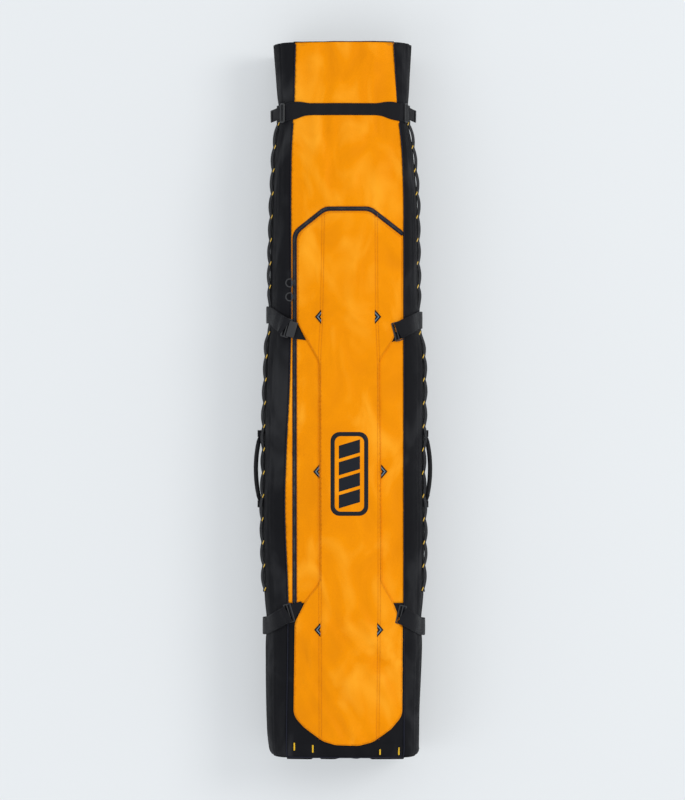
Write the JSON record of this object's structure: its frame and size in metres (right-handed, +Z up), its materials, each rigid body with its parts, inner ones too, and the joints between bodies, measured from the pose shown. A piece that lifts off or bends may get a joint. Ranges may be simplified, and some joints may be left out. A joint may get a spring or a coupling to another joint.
{
  "type": "ski bag",
  "caption": "Long padded travel bag for skis, lying on its back, with a zipped front lid, compression straps, side and end grab handles, and wheels at one end.",
  "frame": {"origin": "centre of the bag's footprint, on the floor plane under the skid rails and wheels", "axes": "+Z up, out of the front that holds the lid; +Y towards the narrow top end, away from the wheels; +X towards the side that the lid is hinged on"},
  "size_m": [0.4776, 1.9009, 0.249],
  "materials": {
    "shell_black": "matte coated ballistic weave",
    "shell_orange": "satin coated tarpaulin weave",
    "webbing_black": "ribbed nylon webbing",
    "piping_black": "woven edge binding",
    "zipper_tape": "fine woven tape",
    "zipper_coil": "moulded coil",
    "zipper_metal": "black e-coat",
    "pull_cord": "braided cord over moulded loop",
    "buckle_black": "moulded acetal, fine texture",
    "loop_grey": "woven loop, grey face with dark edges",
    "thread_yellow": "dense satin stitch",
    "mesh_black": "open knitted mesh",
    "handle_grip": "webbing tube, matte",
    "chassis_plastic": "moulded, fine texture",
    "rail_plastic": "extruded, lightly scuffed",
    "tyre_rubber": "moulded tread",
    "hub_plastic": "moulded",
    "steel": "turned",
    "board_plastic": "extruded sheet",
    "foam_grey": "closed foam in lining cloth"
  },
  "bodies": {
    "root": {"left_gusset": "shell_black", "right_gusset": "shell_black", "back_panel": "shell_black", "top_end_panel": "shell_black", "base_end_panel": "shell_black", "wheel_chassis": "chassis_plastic", "front_surround": "shell_orange", "front_base_panel": "shell_black", "frame_zipper_tape": "zipper_tape", "frame_zipper_coil": "zipper_coil", "base_overlay": "shell_orange", "base_lash_loops": "loop_grey", "seam_piping": "piping_black", "strap_upper_left": "webbing_black", "strap_upper_right": "webbing_black", "strap_lower_left": "webbing_black", "strap_lower_right": "webbing_black", "buckle_upper_left": "buckle_black", "base_buckles": "buckle_black", "base_tabs": "webbing_black", "cinch_strap": "webbing_black", "cinch_buckles": "buckle_black", "cinch_anchors": "webbing_black", "cinch_tails": "webbing_black", "daisy_chains": "webbing_black", "bar_tacks": "thread_yellow", "handle_anchors": "webbing_black", "top_handle_anchors": "webbing_black", "axles": "steel", "skid_rails": "rail_plastic", "rail_screws": "steel", "frame_board": "board_plastic", "back_foam": "foam_grey", "end_pads": "foam_grey", "ski_straps": "webbing_black", "ski_strap_buckles": "buckle_black"},
    "lid": {"lid_panel": "shell_orange", "lid_overlay": "shell_orange", "lid_zipper_tape": "zipper_tape", "lid_zipper_coil": "zipper_coil", "lid_mesh_pocket": "mesh_black", "lid_lash_loops": "loop_grey", "lid_tabs": "webbing_black", "hook_upper_left": "buckle_black", "buckle_upper_right": "buckle_black"},
    "slider_upper": {"zipper_slider_upper": "zipper_metal"},
    "slider_lower": {"zipper_slider_lower": "zipper_metal"},
    "pull_upper": {"zipper_pull_upper": "pull_cord"},
    "pull_lower": {"zipper_pull_lower": "pull_cord"},
    "side_handle_left": {"side_handle_left": "handle_grip"},
    "side_handle_right": {"side_handle_right": "handle_grip"},
    "top_handle": {"top_haul_handle": "webbing_black"},
    "wheel_left": {"tyre_left": "tyre_rubber", "hub_left": "hub_plastic", "bearings_left": "steel"},
    "wheel_right": {"tyre_right": "tyre_rubber", "hub_right": "hub_plastic", "bearings_right": "steel"}
  },
  "joints": [
    {"name": "lid_hinge", "type": "hinge", "parent": "root", "child": "lid", "pos_m": [0.1604, 0, 0.2342], "axis": [0, 1, 0], "range_deg": [0, 105], "deforming": ["strap_upper_right"]},
    {"name": "upper_slider_travel", "type": "slide", "parent": "lid", "child": "slider_upper", "axis": [0, 1, 0], "range_m": [0, 0.105]},
    {"name": "lower_slider_travel", "type": "slide", "parent": "lid", "child": "slider_lower", "axis": [0, 1, 0], "range_m": [-0.79, 0]},
    {"name": "upper_pull_hinge", "type": "hinge", "parent": "slider_upper", "child": "pull_upper", "pos_m": [-0.13281, 0.309, 0.23821], "axis": [0, 1, 0], "range_deg": [0, 150]},
    {"name": "lower_pull_hinge", "type": "hinge", "parent": "slider_lower", "child": "pull_lower", "pos_m": [-0.13281, 0.272, 0.23821], "axis": [0, 1, 0], "range_deg": [0, 150]},
    {"name": "left_handle_hinge", "type": "hinge", "parent": "root", "child": "side_handle_left", "pos_m": [-0.22282, -0.185, 0.112], "axis": [0, 1, 0], "range_deg": [-60, 60]},
    {"name": "right_handle_hinge", "type": "hinge", "parent": "root", "child": "side_handle_right", "pos_m": [0.22282, -0.185, 0.112], "axis": [0, 1, 0], "range_deg": [-60, 60]},
    {"name": "top_handle_hinge", "type": "hinge", "parent": "root", "child": "top_handle", "pos_m": [0, 0.94607, 0.15], "axis": [1, 0, 0], "range_deg": [0, 110]},
    {"name": "left_wheel_spin", "type": "hinge", "parent": "root", "child": "wheel_left", "pos_m": [-0.134, -0.908, 0.038], "axis": [1, 0, 0], "continuous": true},
    {"name": "right_wheel_spin", "type": "hinge", "parent": "root", "child": "wheel_right", "pos_m": [0.134, -0.908, 0.038], "axis": [1, 0, 0], "continuous": true}
  ]
}
